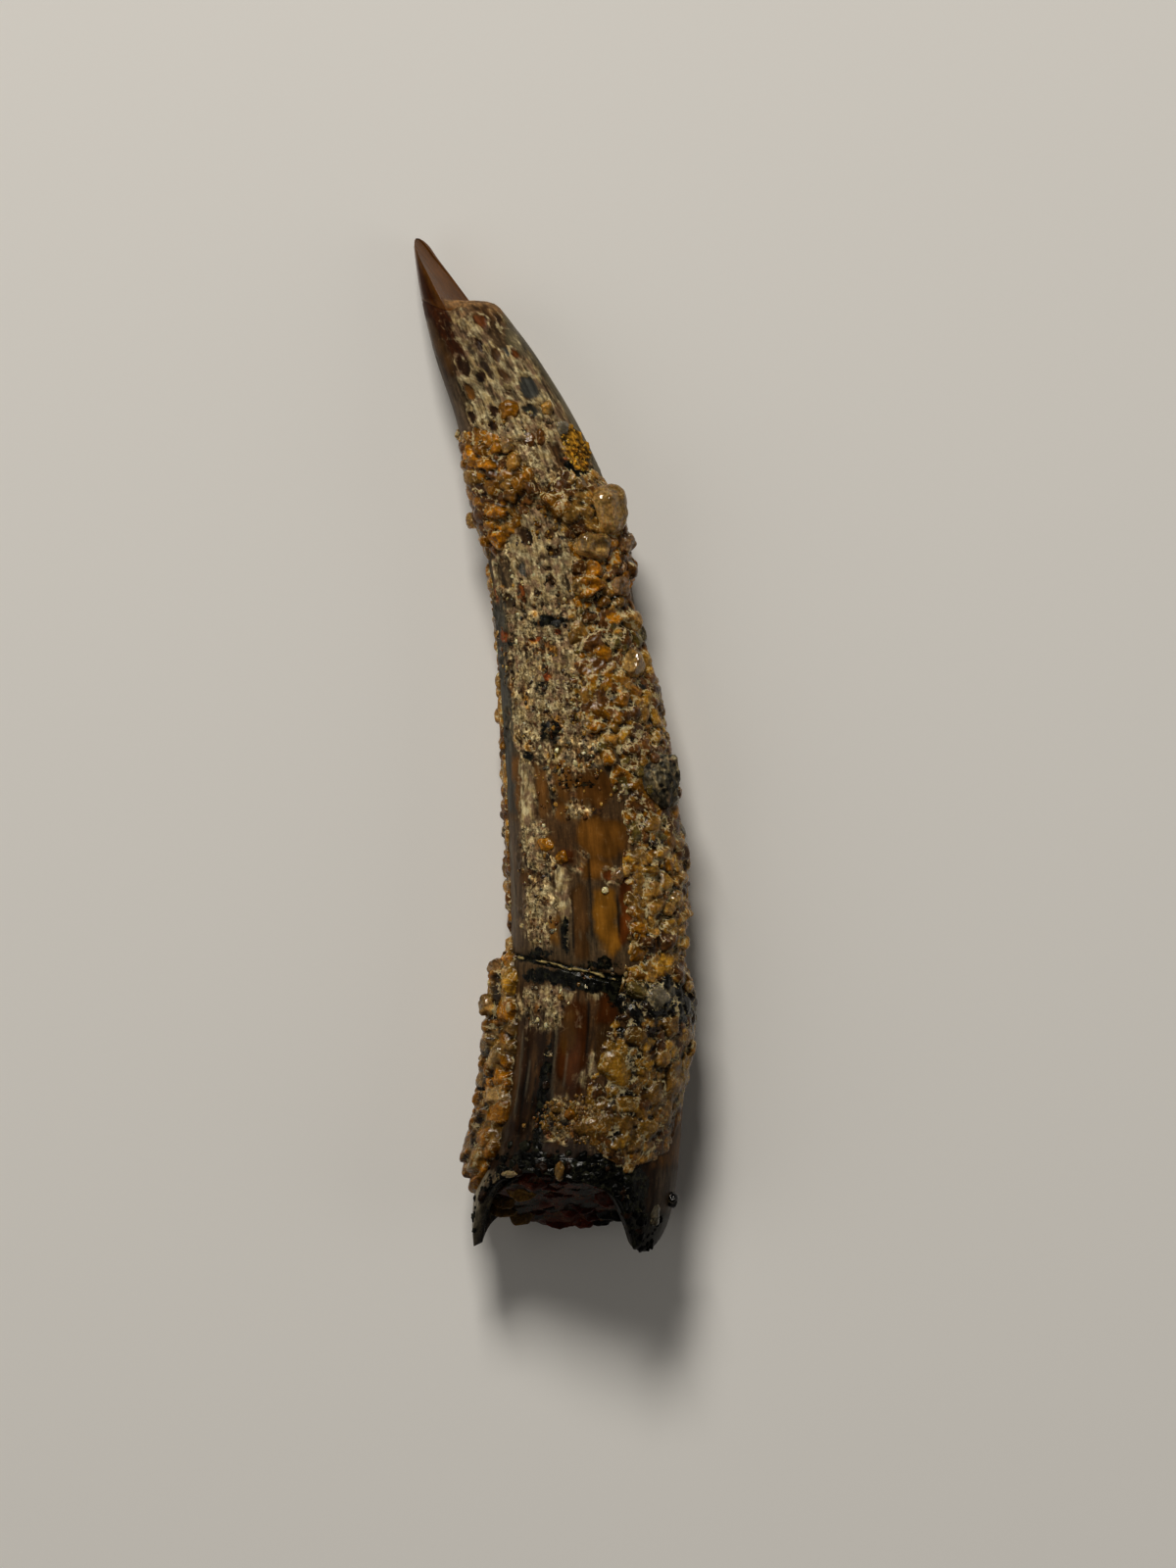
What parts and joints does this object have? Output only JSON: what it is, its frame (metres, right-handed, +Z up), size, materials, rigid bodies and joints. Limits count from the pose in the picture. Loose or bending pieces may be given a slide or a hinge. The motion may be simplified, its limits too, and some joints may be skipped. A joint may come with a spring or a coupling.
{
  "type": "fossil pterosaur tooth",
  "caption": "Curved, tapering fossil tooth with a chipped glossy tip, a hollow broken root filled with sandstone, and amber sand crusts cemented along its sides.",
  "frame": {"origin": "centre of the bounding box in plan, at the height of the surface that the tooth lies on", "axes": "+Y along the tooth from its broken root to its tip, +X across it, +Z up from the surface; the tip curves towards -X"},
  "size_m": [0.0116, 0.0414, 0.0063],
  "materials": {
    "tooth": "weathered enamel and dentine, glossy at the tip, brown with pale cement and black stain",
    "pulp_filling": "iron-stained cemented sand, dark red, slightly glassy",
    "honey_sand": "cemented quartz grains, translucent honey",
    "amber_sand": "cemented quartz grains, translucent amber",
    "ironstone": "dull black ironstone with grey patches"
  },
  "bodies": {
    "root": {"tooth": "tooth", "pulp_filling": "pulp_filling", "sand_crust_right": "honey_sand", "sand_crust_upper_left": "amber_sand", "sand_crust_left_edge": "amber_sand", "sand_crust_lower_left": "amber_sand", "ironstone_nodule": "ironstone"}
  },
  "joints": []
}
